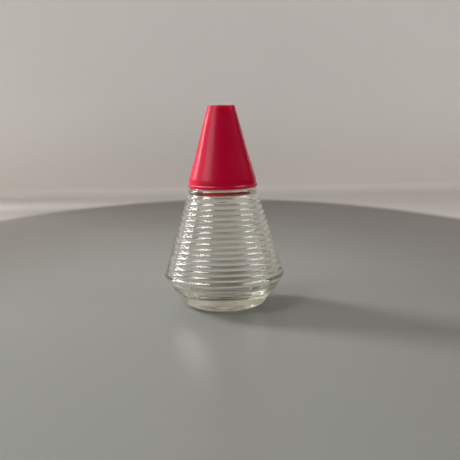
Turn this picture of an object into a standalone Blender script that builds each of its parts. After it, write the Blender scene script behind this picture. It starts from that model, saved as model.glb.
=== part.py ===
"""Conical salt shaker: a ribbed glass jar, a screw hood and a sprinkler insert.

Sizes are in metres, +Z is up, and the origin is on the table under the common axis.
"""

import math

import bmesh
import bpy

# Glass jar, from the table up.
FOOT_RADIUS = 0.0192  # where the underside's taper would meet the table
HEEL_ROUND = 0.0055
REST_RING_WIDTH = 0.0022
PUSH_UP = 0.0009  # hollow under the base, inside the resting ring
BELLY_RADIUS = 0.0301
BELLY_HEIGHT = 0.0158  # crest of the widest rib
BELLY_UNDERCUT = 0.0006  # from that crest in to the underside's taper
SHOULDER_HEIGHT = 0.0597  # ledge that the hood comes down to
COLLAR_RADIUS = 0.0173  # plain band between the ledge and the ribs
COLLAR_HEIGHT = 0.00285
COLLAR_ROUND = 0.0019
COLLAR_FOOT = 0.0005  # rounding at its lower edge
GROOVE_RADIUS = 0.0169  # groove that the ribs start from
FIRST_RIB_HEIGHT = 0.00335
RIB_COUNT = 16  # with the first rib and the belly
RIB_BULGE = 0.0005
TAPER_RIB_COUNT = 2
TAPER_RIB_HEIGHT = 0.0030
TAPER_RIB_BULGE = 0.00025
GLASS_WALL = 0.0019
BASE_THICKNESS = 0.0076
FLOOR_ROUND = 0.0110  # bowl of the inner floor
INNER_ROUND = 0.0050  # inside of the belly
INNER_SHOULDER_DROP = 0.0040  # inside of the shoulder, below the ledge
SHOULDER_ROUND = 0.0021
NECK_RADIUS = 0.0138
NECK_WALL = 0.0025
NECK_HEIGHT = 0.0068
RIM_ROUND = 0.0008

# Screw hood.
SEAT_GAP = 0.0003
THREAD_ROOM = 0.0014  # neck to hem, filled by the two threads
HEM_WALL = 0.0017
HEM_HEIGHT = 0.0042
HEM_DRAFT = 0.0003
LIP_PROUD = 0.00035  # bead round the hem's lower edge
LIP_HEIGHT = 0.0012
WAIST_RADIUS = 0.0132  # where the hem's flare runs into the cone
WAIST_HEIGHT = 0.0155
HOOD_HEIGHT = 0.0400
HOOD_WALL = 0.0012
TOP_RADIUS = 0.0067
TOP_RIM_WALL = 0.0015
EDGE_ROUND = 0.0004

# Sprinkler insert.
FIT_GAP = 0.0003
PLATE_RECESS = 0.0007
PLATE_THICKNESS = 0.0012
SEAT_WIDTH = 0.0008  # ledge in the hood that the plate rests on
SEAT_THICKNESS = 0.0012
SKIRT_WALL = 0.0007
SKIRT_LENGTH = 0.0010
HOLE_COUNT = 6
HOLE_RADIUS = 0.00065
HOLE_MARGIN = 0.0006  # from the ring of holes to the skirt

# Fineness of the curves.
JAR_SEGMENTS = 44
HOOD_SEGMENTS = 48
INSERT_SEGMENTS = 36
HOLE_SEGMENTS = 12
RIB_STEPS = 3
BEAD_STEPS = 4
ROUND_STEPS = 4
EDGE_STEPS = 2
MERGE = 0.00001

# Sizes that follow from the ones above.
HEM_BORE = NECK_RADIUS + THREAD_ROOM
HEM_RADIUS = HEM_BORE + HEM_WALL
RIM_HEIGHT = SHOULDER_HEIGHT + NECK_HEIGHT
BORE_RADIUS = NECK_RADIUS - NECK_WALL
HOOD_BASE = SHOULDER_HEIGHT + SEAT_GAP
HOOD_SLOPE = (WAIST_RADIUS - TOP_RADIUS) / (HOOD_HEIGHT - WAIST_HEIGHT)
TOP_BORE = TOP_RADIUS - TOP_RIM_WALL
SEAT_RADIUS = TOP_BORE - SEAT_WIDTH
SEAT_HEIGHT = HOOD_HEIGHT - PLATE_RECESS - PLATE_THICKNESS - FIT_GAP
SKIRT_RADIUS = SEAT_RADIUS - FIT_GAP
HOLE_CIRCLE = SKIRT_RADIUS - SKIRT_WALL - HOLE_MARGIN - HOLE_RADIUS


def bowed(start, end, bulge, steps):
    """Points on a circular arc from start to end, bowed to the left of travel; the end is left out."""
    (x0, z0), (x1, z1) = start, end
    chord = math.hypot(x1 - x0, z1 - z0)
    radius = (chord * chord / 4 + bulge * bulge) / (2 * bulge)
    side = ((z0 - z1) / chord, (x1 - x0) / chord)
    back = radius - bulge
    centre = ((x0 + x1) / 2 - side[0] * back, (z0 + z1) / 2 - side[1] * back)
    sweep = 2 * math.asin(chord / 2 / radius)
    first = math.atan2(z0 - centre[1], x0 - centre[0])
    return [
        (
            centre[0] + radius * math.cos(first - sweep * k / steps),
            centre[1] + radius * math.sin(first - sweep * k / steps),
        )
        for k in range(steps)
    ]


def rounded(corners, steps):
    """A path through corners (x, z, radius), each rounded by an arc; a closed path runs on to its start."""
    path = []
    for k, (x, z, radius) in enumerate(corners):
        if radius == 0:
            path.append((x, z))
            continue
        before = corners[k - 1]
        after = corners[(k + 1) % len(corners)]
        a = math.atan2(before[1] - z, before[0] - x)
        b = math.atan2(after[1] - z, after[0] - x)
        turn = math.remainder(b - a, 2 * math.pi)
        reach = radius / math.sin(abs(turn) / 2)
        centre = (x + reach * math.cos(a + turn / 2), z + reach * math.sin(a + turn / 2))
        sweep = math.copysign(math.pi - abs(turn), -turn)
        first = a + math.copysign(math.pi / 2, -turn)
        for step in range(steps + 1):
            angle = first + sweep * step / steps
            path.append((centre[0] + radius * math.cos(angle), centre[1] + radius * math.sin(angle)))
    return path


def turned(name, profile, closed, segments, material, place, collection, parent):
    """A solid turned about Z from a profile in the XZ plane."""
    mesh = bpy.data.meshes.new(name)
    ties = [(k, k + 1) for k in range(len(profile) - 1)]
    if closed:
        ties.append((len(profile) - 1, 0))
    mesh.from_pydata([(x, 0, z) for x, z in profile], ties, [])
    mesh.materials.append(material)
    solid = bpy.data.objects.new(name, mesh)
    solid.location.z = place
    solid.parent = parent
    collection.objects.link(solid)
    screw = solid.modifiers.new("turn", "SCREW")
    screw.axis = "Z"
    screw.steps = segments
    screw.render_steps = segments
    screw.use_merge_vertices = True
    screw.merge_threshold = MERGE
    screw.use_smooth_shade = True
    return solid


def painted(name, colour, roughness, transmission):
    material = bpy.data.materials.new(name)
    material.use_nodes = True
    shader = material.node_tree.nodes["Principled BSDF"]
    shader.inputs["Base Color"].default_value = (*colour, 1)
    shader.inputs["Roughness"].default_value = roughness
    shader.inputs["Metallic"].default_value = 0
    shader.inputs["Transmission Weight"].default_value = transmission
    return material


def new_collection(name):
    collection = bpy.data.collections.new(name)
    bpy.context.scene.collection.children.link(collection)
    return collection


def axis_empty(name, height, collection):
    empty = bpy.data.objects.new(name, None)
    empty.location.z = height
    empty.empty_display_size = 0.01
    collection.objects.link(empty)
    return empty


def jar_profile():
    """Inside from the base up, over rim and collar, and down the ribbed outside to the underside."""
    rib_top = SHOULDER_HEIGHT - COLLAR_HEIGHT
    rib_pitch = (rib_top - FIRST_RIB_HEIGHT - BELLY_HEIGHT) / (RIB_COUNT - 1.5)
    heights = [rib_top] + [rib_top - FIRST_RIB_HEIGHT - rib_pitch * k for k in range(RIB_COUNT - 1)]
    flare = (BELLY_RADIUS - RIB_BULGE - GROOVE_RADIUS) / (rib_top - BELLY_HEIGHT)
    grooves = [(GROOVE_RADIUS + flare * (rib_top - height), height) for height in heights]
    belly_low = (BELLY_RADIUS - BELLY_UNDERCUT, BELLY_HEIGHT - rib_pitch / 2)
    taper = (belly_low[0] - FOOT_RADIUS) / belly_low[1]

    # The inside is parallel to the grooves above the belly and to the taper below it.
    cone_foot = GROOVE_RADIUS + flare * rib_top - GLASS_WALL * math.hypot(1, flare)
    taper_foot = FOOT_RADIUS - GLASS_WALL * math.hypot(1, taper)
    belly_in = (cone_foot - taper_foot) / (flare + taper)
    shoulder_in = SHOULDER_HEIGHT - INNER_SHOULDER_DROP
    inside = [
        (0, BASE_THICKNESS, 0),
        (taper_foot + taper * BASE_THICKNESS, BASE_THICKNESS, FLOOR_ROUND),
        (taper_foot + taper * belly_in, belly_in, INNER_ROUND),
        (cone_foot - flare * shoulder_in, shoulder_in, SHOULDER_ROUND),
        (BORE_RADIUS, SHOULDER_HEIGHT, SHOULDER_ROUND),
        (BORE_RADIUS, RIM_HEIGHT, RIM_ROUND),
        (NECK_RADIUS, RIM_HEIGHT, RIM_ROUND),
        (NECK_RADIUS, SHOULDER_HEIGHT, 0),
    ]
    collar = [
        (COLLAR_RADIUS, SHOULDER_HEIGHT, COLLAR_ROUND),
        (COLLAR_RADIUS, rib_top + COLLAR_FOOT / 2, COLLAR_FOOT),
        (*grooves[0], 0),
    ]
    profile = rounded(inside + collar, ROUND_STEPS)[:-1]

    for upper, lower in zip(grooves, grooves[1:]):
        profile += bowed(upper, lower, RIB_BULGE, RIB_STEPS)
    belly_bulge = BELLY_RADIUS - (grooves[-1][0] + belly_low[0]) / 2
    profile += bowed(grooves[-1], belly_low, belly_bulge, BEAD_STEPS)
    low = belly_low
    for _ in range(TAPER_RIB_COUNT):
        lower = (low[0] - TAPER_RIB_HEIGHT * taper, low[1] - TAPER_RIB_HEIGHT)
        profile += bowed(low, lower, TAPER_RIB_BULGE, RIB_STEPS)
        low = lower

    heel_reach = HEEL_ROUND * math.tan((math.pi / 2 - math.atan(taper)) / 2)
    ring_in = FOOT_RADIUS - heel_reach - REST_RING_WIDTH
    underside = [
        (*low, 0),
        (FOOT_RADIUS, 0, HEEL_ROUND),
        (ring_in, 0, 0),
        (ring_in - PUSH_UP, PUSH_UP, 0),
        (0, PUSH_UP, 0),
    ]
    return profile + rounded(underside, ROUND_STEPS)


def hood_profile():
    """Clockwise round the wall of the hood: hem and lip at the bottom, the insert's seat at the top."""
    hem_top = HEM_RADIUS - HEM_DRAFT
    lip_radius = HEM_RADIUS + LIP_PROUD
    hem_flare = (hem_top - WAIST_RADIUS) / (WAIST_HEIGHT - HEM_HEIGHT)

    # The inside is parallel to the cone down to the waist, then to the flare down to the bore.
    slant = HOOD_WALL * math.hypot(1, HOOD_SLOPE)
    waist_in = WAIST_RADIUS - slant
    seat_low = SEAT_HEIGHT - SEAT_THICKNESS
    cone_top = waist_in - HOOD_SLOPE * (seat_low - WAIST_HEIGHT)
    bore_top = WAIST_HEIGHT - (HEM_BORE - waist_in) / hem_flare
    corners = [
        (TOP_BORE, HOOD_HEIGHT, EDGE_ROUND),
        (TOP_RADIUS, HOOD_HEIGHT, EDGE_ROUND),
        (WAIST_RADIUS, WAIST_HEIGHT, 0),
        (hem_top, HEM_HEIGHT, 0),
        (HEM_RADIUS, LIP_HEIGHT + LIP_PROUD, 0),
        (lip_radius, LIP_HEIGHT, 0),
        (lip_radius, 0, EDGE_ROUND),
        (HEM_BORE, 0, EDGE_ROUND),
        (HEM_BORE, bore_top, 0),
        (waist_in, WAIST_HEIGHT, 0),
        (cone_top, seat_low, 0),
        (SEAT_RADIUS, seat_low, 0),
        (SEAT_RADIUS, SEAT_HEIGHT, 0),
        (TOP_BORE, SEAT_HEIGHT, 0),
    ]
    return rounded(corners, EDGE_STEPS)


def insert_profile():
    """Plate from its top centre out to the edge, then the skirt, then back in under the plate."""
    plate_radius = TOP_BORE - FIT_GAP
    skirt_low = -FIT_GAP - SKIRT_LENGTH
    return [
        (0, PLATE_THICKNESS),
        (plate_radius, PLATE_THICKNESS),
        (plate_radius, 0),
        (SKIRT_RADIUS, 0),
        (SKIRT_RADIUS, skirt_low),
        (SKIRT_RADIUS - SKIRT_WALL, skirt_low),
        (SKIRT_RADIUS - SKIRT_WALL, 0),
        (0, 0),
    ]


def hole_cutter(place, collection, parent):
    """One pin in the middle and a ring of pins, longer than the plate is thick."""
    mesh = bpy.data.meshes.new("sprinkle_holes")
    pins = bmesh.new()
    centres = [(0, 0)]
    for k in range(HOLE_COUNT):
        angle = 2 * math.pi * k / HOLE_COUNT
        centres.append((HOLE_CIRCLE * math.cos(angle), HOLE_CIRCLE * math.sin(angle)))
    for x, y in centres:
        ring = bmesh.ops.create_cone(
            pins,
            cap_ends=True,
            segments=HOLE_SEGMENTS,
            radius1=HOLE_RADIUS,
            radius2=HOLE_RADIUS,
            depth=PLATE_THICKNESS * 2,
        )
        bmesh.ops.translate(pins, vec=(x, y, PLATE_THICKNESS / 2), verts=ring["verts"])
    pins.to_mesh(mesh)
    pins.free()
    cutter = bpy.data.objects.new("sprinkle_holes", mesh)
    cutter.location.z = place
    cutter.parent = parent
    cutter.hide_render = True
    cutter.display_type = "WIRE"
    collection.objects.link(cutter)
    return cutter


def build():
    for thing in list(bpy.data.objects):
        bpy.data.objects.remove(thing)
    shaker = new_collection("salt_shaker")
    cutters = new_collection("cutters")
    glass = painted("clear_glass", (0.86, 0.88, 0.84), 0.04, 1.0)
    red = painted("red_plastic", (0.48, 0.008, 0.026), 0.34, 0.0)
    orange_red = painted("insert_plastic", (0.52, 0.014, 0.026), 0.36, 0.0)

    cap_axis = axis_empty("cap_axis", HOOD_BASE, shaker)
    turned("glass_jar", jar_profile(), False, JAR_SEGMENTS, glass, 0, shaker, None)
    turned("screw_hood", hood_profile(), True, HOOD_SEGMENTS, red, 0, shaker, cap_axis)
    plate_base = SEAT_HEIGHT + FIT_GAP
    plate = insert_profile()
    insert = turned("sprinkler_insert", plate, False, INSERT_SEGMENTS, orange_red, plate_base, shaker, cap_axis)
    holes = insert.modifiers.new("holes", "BOOLEAN")
    holes.operation = "DIFFERENCE"
    holes.solver = "EXACT"
    holes.object = hole_cutter(plate_base, cutters, cap_axis)


build()
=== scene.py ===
import math

import bmesh
import bpy
from mathutils import Matrix, Vector, noise


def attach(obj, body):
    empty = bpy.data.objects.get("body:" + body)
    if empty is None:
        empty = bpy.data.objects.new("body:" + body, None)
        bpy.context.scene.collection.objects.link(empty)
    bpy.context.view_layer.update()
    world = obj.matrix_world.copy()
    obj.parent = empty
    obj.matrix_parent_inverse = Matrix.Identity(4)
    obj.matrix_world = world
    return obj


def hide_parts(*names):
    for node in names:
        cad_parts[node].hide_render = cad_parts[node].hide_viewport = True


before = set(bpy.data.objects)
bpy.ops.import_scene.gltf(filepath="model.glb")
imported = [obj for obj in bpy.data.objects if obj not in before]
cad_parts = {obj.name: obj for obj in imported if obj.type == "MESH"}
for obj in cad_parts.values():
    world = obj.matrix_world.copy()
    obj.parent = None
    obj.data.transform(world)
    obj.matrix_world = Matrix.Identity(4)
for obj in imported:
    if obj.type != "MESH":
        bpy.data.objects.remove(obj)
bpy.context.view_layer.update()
scene = bpy.context.scene
mm = 0.001
print("frame loaded:", ", ".join(sorted(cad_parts)))


# turned profiles, in millimetres: x is the radius, y the height

def ribbedLine(start, end, bulge, shape, steps):
    # one rib from groove to groove, its grooves softer than its crest, without its last point
    left = Vector((start.y - end.y, end.x - start.x)).normalized()
    swells = [math.sin(math.pi * k / steps) ** shape["ribPower"] for k in range(steps)]
    return [start.lerp(end, k / steps) + left * bulge * swell for k, swell in enumerate(swells)]


def roundedPath(corners, steps):
    # corners are (x, y, radius), and one with no radius stays sharp
    # a rounded first or last corner turns towards the other end of the path, which is then closed
    path = []
    for k, (x, y, radius) in enumerate(corners):
        here = Vector((x, y))
        if not radius:
            path.append(here)
            continue
        before = (Vector(corners[k - 1][:2]) - here).normalized()
        after = (Vector(corners[(k + 1) % len(corners)][:2]) - here).normalized()
        opening = before.angle(after)
        middle = here + (before + after).normalized() * radius / math.sin(opening / 2)
        first = here + before * radius / math.tan(opening / 2) - middle
        turn = math.copysign(math.pi - opening, before.cross(after) * -1)
        path += [middle + Matrix.Rotation(turn * step / steps, 2) @ first for step in range(steps + 1)]
    return path


def turnedPiece(profile, steps, spacing, closed=False):
    # a wire profile, cut finer where its edges are long, spun about Z
    bm = bmesh.new()
    line = []
    for here, after in zip(profile, profile[1:] + profile[:1]):
        cuts = 1 + int((after - here).length / spacing(here, after))
        line += [here.lerp(after, k / cuts) for k in range(cuts)]
        if after is profile[-1] and not closed:
            line.append(after)
            break
    verts = [bm.verts.new((p.x * mm, 0, p.y * mm)) for p in line]
    for pair in zip(verts, verts[1:] + (verts[:1] if closed else [])):
        bm.edges.new(pair)
    bmesh.ops.spin(bm, geom=bm.verts[:] + bm.edges[:], cent=(0, 0, 0), axis=(0, 0, 1),
                   angle=2 * math.pi, steps=steps, use_merge=True)
    bmesh.ops.remove_doubles(bm, verts=bm.verts, dist=0.001 * mm)
    bmesh.ops.recalc_face_normals(bm, faces=bm.faces)
    return bm


def threadSwell(place, thread):
    # 0 to 1: how much of the thread's depth stands at this place on the wall
    lap = (math.atan2(place.y, place.x) / (2 * math.pi)) % 1
    swell = 0
    for turn in (lap, lap + 1):
        if thread["first"] < turn < thread["last"]:
            away = abs(place.z / mm - thread["height"] - thread["pitch"] * turn) / thread["half"]
            runOut = min(turn - thread["first"], thread["last"] - turn) / thread["runOut"]
            if away < 1:
                swell = max(swell, (0.5 + 0.5 * math.cos(math.pi * away)) * min(1, runOut))
    return swell


def pushOut(vert, distance):
    flat = Vector((vert.co.x, vert.co.y, 0))
    vert.co += flat.normalized() * distance * mm


def radiusOf(vert):
    return math.hypot(vert.co.x, vert.co.y) / mm


def finishPiece(bm, name, material, sharpAngle):
    mesh = bpy.data.meshes.new(name)
    bm.to_mesh(mesh)
    bm.free()
    mesh.shade_smooth()
    mesh.set_sharp_from_angle(angle=math.radians(sharpAngle))
    mesh.materials.append(material)
    piece = bpy.data.objects.new(name, mesh)
    scene.collection.objects.link(piece)
    print(name, "made:", len(mesh.polygons), "faces")
    return piece


def fitPiece(piece, body, node):
    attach(piece, body)
    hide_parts(node)


# node trees

class Signal:
    # one socket; sums on it add Math nodes to its bench
    def __init__(self, bench, socket):
        self.bench = bench
        self.socket = socket

    def __add__(self, other):
        return self.bench.sum("ADD", self, other)

    def __rsub__(self, other):
        return self.bench.sum("SUBTRACT", other, self)

    def __mul__(self, other):
        return self.bench.sum("MULTIPLY", self, other)

    __radd__ = __add__
    __rmul__ = __mul__


class Bench:
    # the node tree of one material or of the world
    def __init__(self, owner):
        owner.use_nodes = True
        self.tree = owner.node_tree
        self.tree.nodes.clear()

    def add(self, kind, settings=None, sockets=None, out=0):
        node = self.tree.nodes.new("ShaderNode" + kind)
        for key, value in (settings or {}).items():
            setattr(node, key, value)
        for key, value in (sockets or {}).items():
            if isinstance(value, Signal):
                self.tree.links.new(value.socket, node.inputs[key])
            else:
                node.inputs[key].default_value = value
        return Signal(self, node.outputs[out]) if len(node.outputs) else node

    def sum(self, operation, a, b):
        return self.add("Math", {"operation": operation}, {0: a, 1: b})

    def between(self, value, limits):
        # 0 below the first limit, 1 above the second, smooth in between
        low, high = limits
        return self.add("MapRange", {"interpolation_type": "SMOOTHSTEP"},
                        {"Value": value, "From Min": low, "From Max": high})

    def mixColour(self, factor, a, b):
        return self.add("Mix", {"data_type": "RGBA"}, {0: factor, 6: a, 7: b}, out=2)

    def speckle(self, vector, scale, detail=2.0, rough=0.5):
        return self.add("TexNoise", {}, {
            "Vector": vector, "Scale": scale, "Detail": detail, "Roughness": rough})

    def bump(self, height, strength, distance):
        return self.add("Bump", {}, {"Height": height, "Strength": strength, "Distance": distance})


def rgb(red, green, blue):
    return (red, green, blue, 1)


# clear glass; a speckle is its scale, detail and roughness

glassLook = {
    "tint": rgb(0.960, 0.956, 0.930),
    "cloudTint": rgb(0.933, 0.928, 0.898), "cloudSpeckle": (45, 2), "cloudLimits": (0.35, 0.75),
    "depthTint": rgb(0.80, 0.805, 0.72), "depthDensity": 30.0,
    "roughness": 0.008,
    "smudge": 0.03, "smudgeSpeckle": (130, 5, 0.62), "smudgeLimits": (0.52, 0.8),
    "ior": 1.51,
    "waviness": 0.03, "waveDepth": 0.00008,
    "longWave": (220, 1), "shortWave": (620, 2), "shortShare": 0.35,
}


def clearGlass(look):
    material = bpy.data.materials.new("clearGlass")
    bench = Bench(material)
    place = bench.add("TexCoord", out="Object")
    cloud = bench.between(bench.speckle(place, *look["cloudSpeckle"]), look["cloudLimits"])
    smear = bench.between(bench.speckle(place, *look["smudgeSpeckle"]), look["smudgeLimits"])
    ripple = bench.speckle(place, *look["shortWave"])
    wave = bench.speckle(place, *look["longWave"]) + look["shortShare"] * ripple
    glass = bench.add("BsdfPrincipled", {}, {
        "Base Color": bench.mixColour(cloud, look["tint"], look["cloudTint"]),
        "Roughness": look["roughness"] + smear * look["smudge"],
        "IOR": look["ior"],
        "Transmission Weight": 1.0,
        "Normal": bench.bump(wave, look["waviness"], look["waveDepth"]),
    })
    depth = bench.add("VolumeAbsorption", {}, {"Color": look["depthTint"], "Density": look["depthDensity"]})
    bench.add("OutputMaterial", {}, {"Surface": glass, "Volume": depth})
    return material


# glass jar

jarShape = {
    "footRadius": 19.2, "heelRound": 5.5, "restRing": 2.2, "ringRound": 0.5, "pushUp": 0.9,
    "bellyRadius": 30.08, "bellyHeight": 15.8, "bellyUndercut": 0.6,
    "shoulderHeight": 59.7,
    "collarRadius": 17.3, "collarRound": 1.9, "collarHeight": 2.85, "collarFoot": 0.5,
    "grooveRadius": 16.9, "firstRib": 3.35, "ribCount": 16, "ribBulge": 0.52, "ribPower": 1.4,
    "taperRibs": 2, "taperRibHeight": 3.0, "taperRibBulge": 0.25,
    "wall": 1.9, "base": 7.6, "floorRound": 11.0, "innerRound": 5.0,
    "shoulderDrop": 4.0, "shoulderRound": 2.1,
    "neckRadius": 13.8, "neckWall": 2.5, "neckHeight": 6.8, "neckFootRound": 0.3, "rimRound": 0.8,
    "ribSteps": 12, "beadSteps": 14, "roundSteps": 10, "turnSteps": 192,
    "neckSpacing": 0.16, "spacing": 1.4, "sharpAngle": 50,
    "neckSkin": 0.1, "neckReach": 0.3, "neckPlain": 1.0, "ledgeClear": 0.2, "footClear": 1.0,
    "wobble": 0.025, "wobbleScales": (90, 260),   # per metre, the second at half strength
}
neckThread = {
    "height": 61.1, "pitch": 4.233, "half": 0.85, "depth": 0.95,
    "first": 0.02, "last": 1.0, "runOut": 0.07,
}


def jarProfile(s):
    ribTop = s["shoulderHeight"] - s["collarHeight"]
    # the belly's bead takes the last place in the count, and its crest is half a pitch below its groove
    ribPitch = (ribTop - s["firstRib"] - s["bellyHeight"]) / (s["ribCount"] - 1.5)
    flare = (s["bellyRadius"] - s["ribBulge"] - s["grooveRadius"]) / (ribTop - s["bellyHeight"])
    drops = [0] + [s["firstRib"] + ribPitch * k for k in range(s["ribCount"] - 1)]
    grooves = [Vector((s["grooveRadius"] + flare * drop, ribTop - drop)) for drop in drops]
    bellyLow = Vector((s["bellyRadius"] - s["bellyUndercut"], s["bellyHeight"] - ribPitch / 2))
    taper = (bellyLow.x - s["footRadius"]) / bellyLow.y

    # inside, parallel to the grooves above the belly and to the taper below it
    coneFoot = s["grooveRadius"] + flare * ribTop - s["wall"] * math.hypot(1, flare)
    taperFoot = s["footRadius"] - s["wall"] * math.hypot(1, taper)
    bellyIn = (coneFoot - taperFoot) / (flare + taper)
    shoulderIn = s["shoulderHeight"] - s["shoulderDrop"]
    bore = s["neckRadius"] - s["neckWall"]
    rim = s["shoulderHeight"] + s["neckHeight"]
    profile = roundedPath([
        (0, s["base"], 0),
        (taperFoot + taper * s["base"], s["base"], s["floorRound"]),
        (taperFoot + taper * bellyIn, bellyIn, s["innerRound"]),
        (coneFoot - flare * shoulderIn, shoulderIn, s["shoulderRound"]),
        (bore, s["shoulderHeight"], s["shoulderRound"]),
        (bore, rim, s["rimRound"]),
        (s["neckRadius"], rim, s["rimRound"]),
        (s["neckRadius"], s["shoulderHeight"], s["neckFootRound"]),
        (s["collarRadius"], s["shoulderHeight"], s["collarRound"]),
        (s["collarRadius"], ribTop + s["collarFoot"] / 2, s["collarFoot"]),
        (s["grooveRadius"], ribTop, 0),
    ], s["roundSteps"])[:-1]

    for upper, lower in zip(grooves, grooves[1:]):
        profile += ribbedLine(upper, lower, s["ribBulge"], s, s["ribSteps"])
    bellyBulge = s["bellyRadius"] - (grooves[-1].x + bellyLow.x) / 2
    profile += ribbedLine(grooves[-1], bellyLow, bellyBulge, s, s["beadSteps"])
    low = bellyLow
    for _ in range(s["taperRibs"]):
        lower = low - Vector((taper, 1)) * s["taperRibHeight"]
        profile += ribbedLine(low, lower, s["taperRibBulge"], s, s["ribSteps"])
        low = lower

    heelReach = s["heelRound"] * math.tan((math.pi / 2 - math.atan(taper)) / 2)
    ringIn = s["footRadius"] - heelReach - s["restRing"]
    profile += roundedPath([
        (low.x, low.y, 0),
        (s["footRadius"], 0, s["heelRound"]),
        (ringIn, 0, s["ringRound"]),
        (ringIn - s["pushUp"], s["pushUp"], s["ringRound"]),
        (0, s["pushUp"], 0),
    ], s["roundSteps"])
    return profile


def jarSpacing(here, after):
    # finest on the neck's outside, where the thread stands
    s = jarShape
    onNeck = min(here.x, after.x) > s["neckRadius"] - s["neckSkin"]
    aboveFoot = max(here.y, after.y) > s["shoulderHeight"] + s["neckPlain"]
    return s["neckSpacing"] if onNeck and aboveFoot else s["spacing"]


def makeJar(material):
    s = jarShape
    longScale, shortScale = s["wobbleScales"]
    bm = turnedPiece(jarProfile(s), s["turnSteps"], jarSpacing)
    neckLow = s["shoulderHeight"] + s["ledgeClear"]
    bodyHigh = s["shoulderHeight"] - s["ledgeClear"]
    for vert in bm.verts:
        radius = radiusOf(vert)
        height = vert.co.z / mm
        if height > neckLow and radius > s["neckRadius"] - s["neckReach"]:
            pushOut(vert, threadSwell(vert.co, neckThread) * neckThread["depth"])
        elif radius > s["footRadius"] - s["footClear"] and s["footClear"] < height < bodyHigh:
            drift = noise.noise(vert.co * longScale) + 0.5 * noise.noise(vert.co * shortScale)
            pushOut(vert, s["wobble"] * (drift - 1))   # inwards on the whole, to stay in the CAD box
    piece = finishPiece(bm, "ribbedJar", material, s["sharpAngle"])
    fitPiece(piece, "jar", "glass_jar")


# red plastic

redLook = {
    "base": rgb(0.59, 0.0015, 0.046),
    "faded": rgb(0.62, 0.004, 0.056), "fadeShare": 0.4,
    "fadeSpeckle": (70, 4, 0.6), "fadeLimits": (0.35, 0.7),
    "roughness": 0.23,
    "scuff": 0.05, "scuffSpeckle": (260, 6, 0.7), "scuffLimits": (0.55, 0.8),
    "grain": 0.03, "grainDepth": 0.00006,
    "skinSpeckle": (160, 1), "grainSpeckle": (900, 3), "grainShare": 0.3,
    "ior": 1.5, "specular": 0.3,
    "glowRadius": (1.0, 0.04, 0.10), "glowScale": 0.004,
}
insertLook = dict(redLook, base=rgb(0.68, 0.012, 0.026), faded=rgb(0.72, 0.018, 0.034))


def wornPlastic(name, look):
    material = bpy.data.materials.new(name)
    bench = Bench(material)
    place = bench.add("TexCoord", out="Object")
    fade = bench.between(bench.speckle(place, *look["fadeSpeckle"]), look["fadeLimits"])
    scuff = bench.between(bench.speckle(place, *look["scuffSpeckle"]), look["scuffLimits"])
    grain = bench.speckle(place, *look["grainSpeckle"])
    skin = bench.speckle(place, *look["skinSpeckle"])
    plastic = bench.add("BsdfPrincipled", {}, {
        "Base Color": bench.mixColour(fade * look["fadeShare"], look["base"], look["faded"]),
        "Roughness": look["roughness"] + scuff * look["scuff"],
        "IOR": look["ior"],
        "Specular IOR Level": look["specular"],
        "Subsurface Weight": 1.0,
        "Subsurface Radius": look["glowRadius"],
        "Subsurface Scale": look["glowScale"],
        "Normal": bench.bump(skin + look["grainShare"] * grain, look["grain"], look["grainDepth"]),
    })
    bench.add("OutputMaterial", {}, {"Surface": plastic})
    return material


# screw hood

hoodShape = {
    "seat": 60.0, "height": 40.0, "hemRadius": 16.9, "hemDraft": 0.3, "hemHeight": 4.2, "hemBore": 15.2,
    "lipProud": 0.35, "lipHeight": 1.2, "waistRadius": 13.2, "waistHeight": 15.5, "waistSoften": 30.0,
    "topRadius": 6.7, "wall": 1.2, "rimWall": 1.5, "edgeRound": 0.4, "hemSoften": 4.0, "boreRound": 0.8,
    "seatWidth": 0.8, "seatHeight": 37.8, "seatThickness": 1.2, "seatRound": 0.15, "seatFootRound": 0.3,
    "roundSteps": 6, "turnSteps": 160,
    "hemSpacing": 0.18, "hemMargin": 0.6, "boreSkin": 0.05, "spacing": 1.5, "sharpAngle": 40,
}
hoodThread = {
    "height": 59.45, "pitch": 4.233, "half": 0.8, "depth": 0.9,
    "first": 0.38, "last": 1.1, "runOut": 0.07,
}


def hoodProfile(s):
    hemTop = s["hemRadius"] - s["hemDraft"]
    lipRadius = s["hemRadius"] + s["lipProud"]
    slope = (s["waistRadius"] - s["topRadius"]) / (s["height"] - s["waistHeight"])
    flare = (hemTop - s["waistRadius"]) / (s["waistHeight"] - s["hemHeight"])
    slant = s["wall"] * math.hypot(1, slope)
    seatLow = s["seatHeight"] - s["seatThickness"]
    topBore = s["topRadius"] - s["rimWall"]
    seatRadius = topBore - s["seatWidth"]
    waistIn = s["waistRadius"] - slant
    corners = [
        (topBore, s["height"], s["edgeRound"]),
        (s["topRadius"], s["height"], s["edgeRound"]),
        (s["waistRadius"], s["waistHeight"], s["waistSoften"]),
        (hemTop, s["hemHeight"], s["hemSoften"]),
        (s["hemRadius"], s["lipHeight"] + s["lipProud"], s["lipProud"]),
        (lipRadius, s["lipHeight"], s["lipProud"]),
        (lipRadius, 0, s["edgeRound"]),
        (s["hemBore"], 0, s["edgeRound"]),
        (s["hemBore"], s["waistHeight"] - (s["hemBore"] - waistIn) / flare, s["boreRound"]),
        (waistIn, s["waistHeight"], s["waistSoften"]),
        (s["topRadius"] + slope * (s["height"] - seatLow) - slant, seatLow, s["seatFootRound"]),
        (seatRadius, seatLow, s["seatRound"]),
        (seatRadius, s["seatHeight"], s["seatRound"]),
        (topBore, s["seatHeight"], s["seatRound"]),
    ]
    return [p + Vector((0, s["seat"])) for p in roundedPath(corners, s["roundSteps"])]


def hoodSpacing(here, after):
    # finest in the hem, where the thread stands
    s = hoodShape
    hemEnd = s["seat"] + s["hemHeight"] + s["hemMargin"]
    return s["hemSpacing"] if max(here.y, after.y) < hemEnd else s["spacing"]


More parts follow.
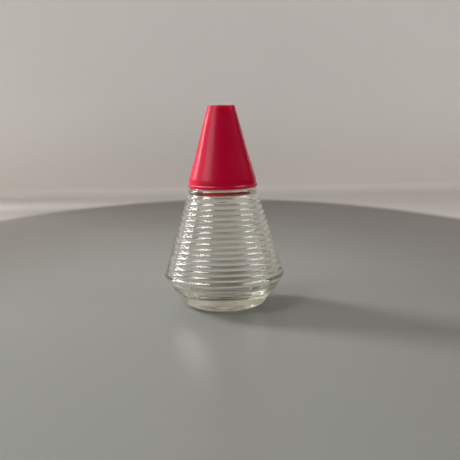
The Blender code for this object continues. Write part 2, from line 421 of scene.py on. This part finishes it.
def makeHood(material):
    s = hoodShape
    bm = turnedPiece(hoodProfile(s), s["turnSteps"], hoodSpacing, closed=True)
    for vert in bm.verts:
        if abs(radiusOf(vert) - s["hemBore"]) < s["boreSkin"]:
            pushOut(vert, -threadSwell(vert.co, hoodThread) * hoodThread["depth"])
    piece = finishPiece(bm, "screwHood", material, s["sharpAngle"])
    fitPiece(piece, "hood", "screw_hood")


# sprinkler insert

insertShape = {
    "base": 98.1, "thickness": 1.2, "radius": 4.9, "skirtRadius": 4.1, "skirtWall": 0.7, "skirtLow": -1.3,
    "holes": 6, "holeRadius": 0.65, "holeCircle": 2.15, "holeTurn": 2.9, "holeSteps": 28,
    "holeRound": 0.12, "holeRoundSteps": 2, "holeEdgeAngle": 50,
    "edgeRound": 0.15, "roundSteps": 4, "turnSteps": 96, "spacing": 9.0, "sharpAngle": 40,
    "sliver": 0.002,
}


def insertProfile(s):
    skirtIn = s["skirtRadius"] - s["skirtWall"]
    corners = [
        (0, s["thickness"], 0),
        (s["radius"], s["thickness"], s["edgeRound"]),
        (s["radius"], 0, s["edgeRound"]),
        (s["skirtRadius"], 0, s["edgeRound"]),
        (s["skirtRadius"], s["skirtLow"], s["edgeRound"]),
        (skirtIn, s["skirtLow"], s["edgeRound"]),
        (skirtIn, 0, s["edgeRound"]),
        (0, 0, 0),
    ]
    return [p + Vector((0, s["base"])) for p in roundedPath(corners, s["roundSteps"])]


def holePins(s):
    # one pin in the middle and a ring of them, long enough to pass through the plate
    middle = Vector((0, 0, s["base"] + s["thickness"] / 2))
    places = [middle]
    for k in range(s["holes"]):
        swing = Matrix.Rotation(2 * math.pi * k / s["holes"], 3, "Z")
        places.append(middle + swing @ Vector((s["holeCircle"], 0, 0)))
    turn = Matrix.Rotation(math.radians(s["holeTurn"]), 4, "Z")   # keeps pin corners off the disc's spokes
    pins = bmesh.new()
    for place in places:
        bmesh.ops.create_cone(pins, cap_ends=True, segments=s["holeSteps"], radius1=s["holeRadius"] * mm,
                              radius2=s["holeRadius"] * mm, depth=3 * s["thickness"] * mm,
                              matrix=Matrix.Translation(place * mm) @ turn)
    mesh = bpy.data.meshes.new("holePins")
    pins.to_mesh(mesh)
    pins.free()
    pinObject = bpy.data.objects.new("holePins", mesh)
    scene.collection.objects.link(pinObject)
    return pinObject


def makeInsert(material):
    s = insertShape
    bm = turnedPiece(insertProfile(s), s["turnSteps"], lambda here, after: s["spacing"])
    piece = finishPiece(bm, "sprinklerInsert", material, s["sharpAngle"])
    pins = holePins(s)
    cut = piece.modifiers.new("holes", "BOOLEAN")
    cut.operation = "DIFFERENCE"
    cut.solver = "EXACT"
    cut.object = pins
    soften = piece.modifiers.new("holeEdges", "BEVEL")
    soften.width = s["holeRound"] * mm
    soften.segments = s["holeRoundSteps"]
    soften.limit_method = "ANGLE"
    soften.angle_limit = math.radians(s["holeEdgeAngle"])
    graph = bpy.context.evaluated_depsgraph_get()
    pierced = bpy.data.meshes.new_from_object(piece.evaluated_get(graph))
    piece.modifiers.clear()
    bpy.data.objects.remove(pins)

    bm = bmesh.new()
    bm.from_mesh(pierced)
    bmesh.ops.dissolve_degenerate(bm, dist=s["sliver"] * mm, edges=bm.edges)
    bmesh.ops.recalc_face_normals(bm, faces=bm.faces)
    bm.to_mesh(pierced)
    bm.free()
    piece.data = pierced
    print("holes cut:", len(pierced.polygons), "faces")
    fitPiece(piece, "insert", "sprinkler_insert")


# stage: a round table in front of a wall, painted on one sheet; lengths in metres

stageLook = {
    "table": rgb(0.235, 0.240, 0.226),
    # painted shade: the table is painted darker towards the right, away from the window light
    "tableRightShade": rgb(0.195, 0.198, 0.187), "rightShadeLimits": (-0.02, 0.16),
    # painted shade: the table is darker and browner towards its far edge, standing in for the dark
    # reflection seen there
    "tableFarShade": rgb(0.150, 0.139, 0.127), "farShadeLimits": (0.40, 0.86),
    "edgeCentre": (-0.0145, -0.214, 0.0), "edgeReach": (0.315, 0.6285, 1.0), "edgeLimits": (0.97, 1.02),
    "floorFar": rgb(0.58, 0.539, 0.505),
    # painted shade: the floor beyond the table, to the left and near, is painted darker where the side lamp
    # reaches past the wall
    "floorPaintedShade": rgb(0.32, 0.297, 0.279), "shadeAcross": (-0.15, -0.09), "shadeAway": (0.34, 0.40),
    # painted shade: the wall is painted darker towards its foot and lighter higher up
    "wall": rgb(0.705, 0.666, 0.627),
    "wallHigh": rgb(0.80, 0.773, 0.748), "footShadeLimits": (0.0, 0.10), "coveLimits": (0.001, 0.008),
    "mottle": rgb(0.2, 0.2, 0.2), "mottleShare": 0.06, "mottleSpeckle": (14, 4),
    "roughness": 0.30, "mottleRoughness": 0.10, "backRoughness": 0.55,
    "grain": 0.08, "grainDepth": 0.0002, "grainSpeckle": (300, 3),
    "wallAway": 0.45, "wallHeight": 1.6, "cove": 0.010, "coveSteps": 8,
    "left": -0.42, "right": 0.45, "front": 3.0, "sharpAngle": 60,
}


def stagePaint(look):
    material = bpy.data.materials.new("paleStage")
    bench = Bench(material)
    place = bench.add("TexCoord", out="Object")
    across, away, height = (bench.add("SeparateXYZ", {}, {"Vector": place}, out=axis) for axis in "XYZ")
    # reach is 1 at the table's edge
    reach = bench.add("VectorMath", {"operation": "SUBTRACT"}, {0: place, 1: look["edgeCentre"]})
    reach = bench.add("VectorMath", {"operation": "DIVIDE"}, {0: reach, 1: look["edgeReach"]})
    reach = bench.add("VectorMath", {"operation": "LENGTH"}, {0: reach}, out="Value")
    # painted shade: the table turns darker towards the right
    tone = bench.mixColour(bench.between(across, look["rightShadeLimits"]), look["table"], look["tableRightShade"])
    # painted shade: darker and browner towards the table's far edge, standing in for a dark reflection
    tone = bench.mixColour(bench.between(reach, look["farShadeLimits"]), tone, look["tableFarShade"])
    beyond = bench.between(reach, look["edgeLimits"])
    # painted shade: the floor beyond the table is darker at the left front, where the side lamp reaches it
    lit = (1 - bench.between(across, look["shadeAcross"])) * (1 - bench.between(away, look["shadeAway"]))
    tone = bench.mixColour(beyond, tone, bench.mixColour(lit, look["floorFar"], look["floorPaintedShade"]))
    # painted shade: the wall is darker towards its foot
    wall = bench.mixColour(bench.between(height, look["footShadeLimits"]), look["wall"], look["wallHigh"])
    tone = bench.mixColour(bench.between(height, look["coveLimits"]), tone, wall)
    mottle = bench.speckle(place, *look["mottleSpeckle"])
    grain = bench.speckle(place, *look["grainSpeckle"])
    paint = bench.add("BsdfPrincipled", {}, {
        "Base Color": bench.mixColour(look["mottleShare"] * mottle, tone, look["mottle"]),
        "Roughness": look["roughness"] + look["mottleRoughness"] * mottle + look["backRoughness"] * beyond,
        "Normal": bench.bump(grain, look["grain"], look["grainDepth"]),
    })
    bench.add("OutputMaterial", {}, {"Surface": paint})
    return material


def makeStage(look):
    # the left edge, turned up at the back, then drawn out to the right
    side, back, cove = look["left"], look["wallAway"], look["cove"]
    bm = bmesh.new()
    floor = [bm.verts.new((side, y, 0)) for y in (-look["front"], back - cove)]
    bm.edges.new(floor)
    swing = bmesh.ops.spin(bm, geom=[floor[1]], cent=(0, back - cove, cove), axis=(1, 0, 0),
                           angle=math.pi / 2, steps=look["coveSteps"])
    top = bm.verts.new((side, back, look["wallHeight"]))
    bm.edges.new((swing["geom_last"][0], top))
    sheet = bmesh.ops.extrude_edge_only(bm, edges=bm.edges[:])
    drawn = [item for item in sheet["geom"] if isinstance(item, bmesh.types.BMVert)]
    bmesh.ops.translate(bm, vec=(look["right"] - side, 0, 0), verts=drawn)
    bmesh.ops.remove_doubles(bm, verts=bm.verts, dist=0.001 * mm)
    bmesh.ops.recalc_face_normals(bm, faces=bm.faces)
    stage = finishPiece(bm, "paleStage", stagePaint(look), look["sharpAngle"])


# camera, fitted to the photograph's outline; focal length and frame width in pixels

camera = {
    "place": (0.00325, -0.4215, 0.1077), "pitch": 9.42, "roll": 1.13, "focal": 850.0, "frameWidth": 460,
}


def makeCamera(c):
    lens = bpy.data.cameras.new("photoCamera")
    lens.sensor_fit = "HORIZONTAL"
    lens.sensor_width = 36
    lens.lens = c["focal"] / c["frameWidth"] * lens.sensor_width
    lens.clip_start = 0.01
    lens.clip_end = 50
    eye = bpy.data.objects.new("photoCamera", lens)
    scene.collection.objects.link(eye)
    tilt = Matrix.Rotation(math.radians(90 - c["pitch"]), 4, "X")
    roll = Matrix.Rotation(math.radians(-c["roll"]), 4, "Z")
    eye.matrix_world = Matrix.Translation(c["place"]) @ tilt @ roll
    scene.camera = eye
    print("camera set")


# lamps; azimuth is in degrees from the camera's side round to the left

lamps = {
    # for matt surfaces
    "sideWindow": dict(azimuth=121, elevation=27, away=1.6, width=0.42, height=0.42, power=29.5),
    "sideGlow": dict(azimuth=80, elevation=14, away=1.6, width=0.50, height=0.60, power=5.6),
    "frontWindow": dict(azimuth=50, elevation=54, away=2.2, width=0.80, height=0.50, power=12.5),
    "rightFill": dict(azimuth=-75, elevation=12, away=1.6, width=1.20, height=0.60, power=7.5),
}
cards = {
    # seen in the gloss and through the glass
    "edgeStrip": dict(azimuth=121, elevation=38, away=1.6, width=0.18, height=1.42, power=14.0),
    "frontCard": dict(azimuth=64, elevation=50, away=2.2, width=1.05, height=0.66, power=4.0),
    "rightCard": dict(azimuth=-70, elevation=48, away=2.2, width=1.30, height=0.80, power=10.0),
}
streaks = {
    # seen in the gloss alone
    "edgeStreak": dict(azimuth=115, elevation=24, away=1.6, width=0.18, height=1.10, power=5.0),
    "frontGlow": dict(azimuth=61, elevation=23, away=2.2, width=1.20, height=0.70, power=6.2),
    "frontStreak": dict(azimuth=80, elevation=56, away=2.2, width=0.46, height=1.20, power=25.0),
    "rightStreak": dict(azimuth=-100, elevation=44, away=1.6, width=0.26, height=1.10, power=9.0),
}
glints = {
    # seen through the glass alone
    "innerStrip": dict(azimuth=100, elevation=38, away=1.6, width=0.11, height=1.42, power=6.0),
}
lampColour = (1.0, 0.985, 0.96)
lampAim = Vector((0, 0, 0.045))


def makeLamps(group, diffuse, glossy, through):
    for name, l in group.items():
        a, e = math.radians(l["azimuth"]), math.radians(l["elevation"])
        towards = Vector((-math.sin(a) * math.cos(e), -math.cos(a) * math.cos(e), math.sin(e)))
        data = bpy.data.lights.new(name, "AREA")
        data.shape = "RECTANGLE"
        data.size = l["width"]
        data.size_y = l["height"]
        data.energy = l["power"]
        data.color = lampColour
        lamp = bpy.data.objects.new(name, data)
        lamp.location = lampAim + towards * l["away"]
        lamp.rotation_mode = "QUATERNION"
        lamp.rotation_quaternion = towards.to_track_quat("Z", "Y")
        lamp.visible_camera = False
        lamp.visible_diffuse = diffuse
        lamp.visible_glossy = glossy
        lamp.visible_transmission = through
        scene.collection.objects.link(lamp)
    print("lamps set:", ", ".join(group))


# world

worldLook = {
    "pale": rgb(0.42, 0.40, 0.385),
    "dim": rgb(0.335, 0.324, 0.310),
    "dark": rgb(0.025, 0.024, 0.022), "darkLimits": (0.0, 0.45),
    "bright": rgb(0.62, 0.608, 0.593), "brightLimits": (0.1, 1.0), "brightSide": (-0.87, 0.16, 0.46),
}


def makeWorld(look):
    # a room brighter to the left; what the camera sees directly or through glass is plain and pale
    world = bpy.data.worlds.new("softRoom")
    scene.world = world
    bench = Bench(world)
    towards = bench.add("TexCoord", out="Generated")
    up = bench.add("SeparateXYZ", {}, {"Vector": towards}, out="Z")
    facing = bench.add("VectorMath", {"operation": "DOT_PRODUCT"},
                       {0: towards, 1: look["brightSide"]}, out="Value")
    gloss, direct, through = (bench.add("LightPath", out="Is %s Ray" % kind)
                              for kind in ("Glossy", "Camera", "Transmission"))
    shaded = bench.sum("MAXIMUM", gloss, bench.between(up, look["darkLimits"]))
    dim = bench.mixColour(shaded, look["dim"], look["dark"])
    glow = bench.mixColour(bench.between(facing, look["brightLimits"]), dim, look["bright"])
    lit = bench.add("Background", {}, {"Color": glow, "Strength": 1.0})
    shown = bench.add("Background", {}, {"Color": look["pale"], "Strength": 1.0})
    both = bench.add("MixShader", {}, {0: bench.sum("MAXIMUM", direct, through), 1: lit, 2: shown})
    bench.add("OutputWorld", {}, {"Surface": both})
    print("world set")


makeCamera(camera)
makeJar(clearGlass(glassLook))
makeHood(wornPlastic("redPlastic", redLook))
makeInsert(wornPlastic("insertPlastic", insertLook))
makeStage(stageLook)
makeLamps(lamps, True, False, False)
makeLamps(cards, False, True, True)
makeLamps(streaks, False, True, False)
makeLamps(glints, False, False, True)
makeWorld(worldLook)
scene.view_settings.view_transform = "Standard"
scene.cycles.max_bounces = 32  # light goes round many times inside the ribbed wall
scene.cycles.glossy_bounces = 20
scene.cycles.transmission_bounces = 28
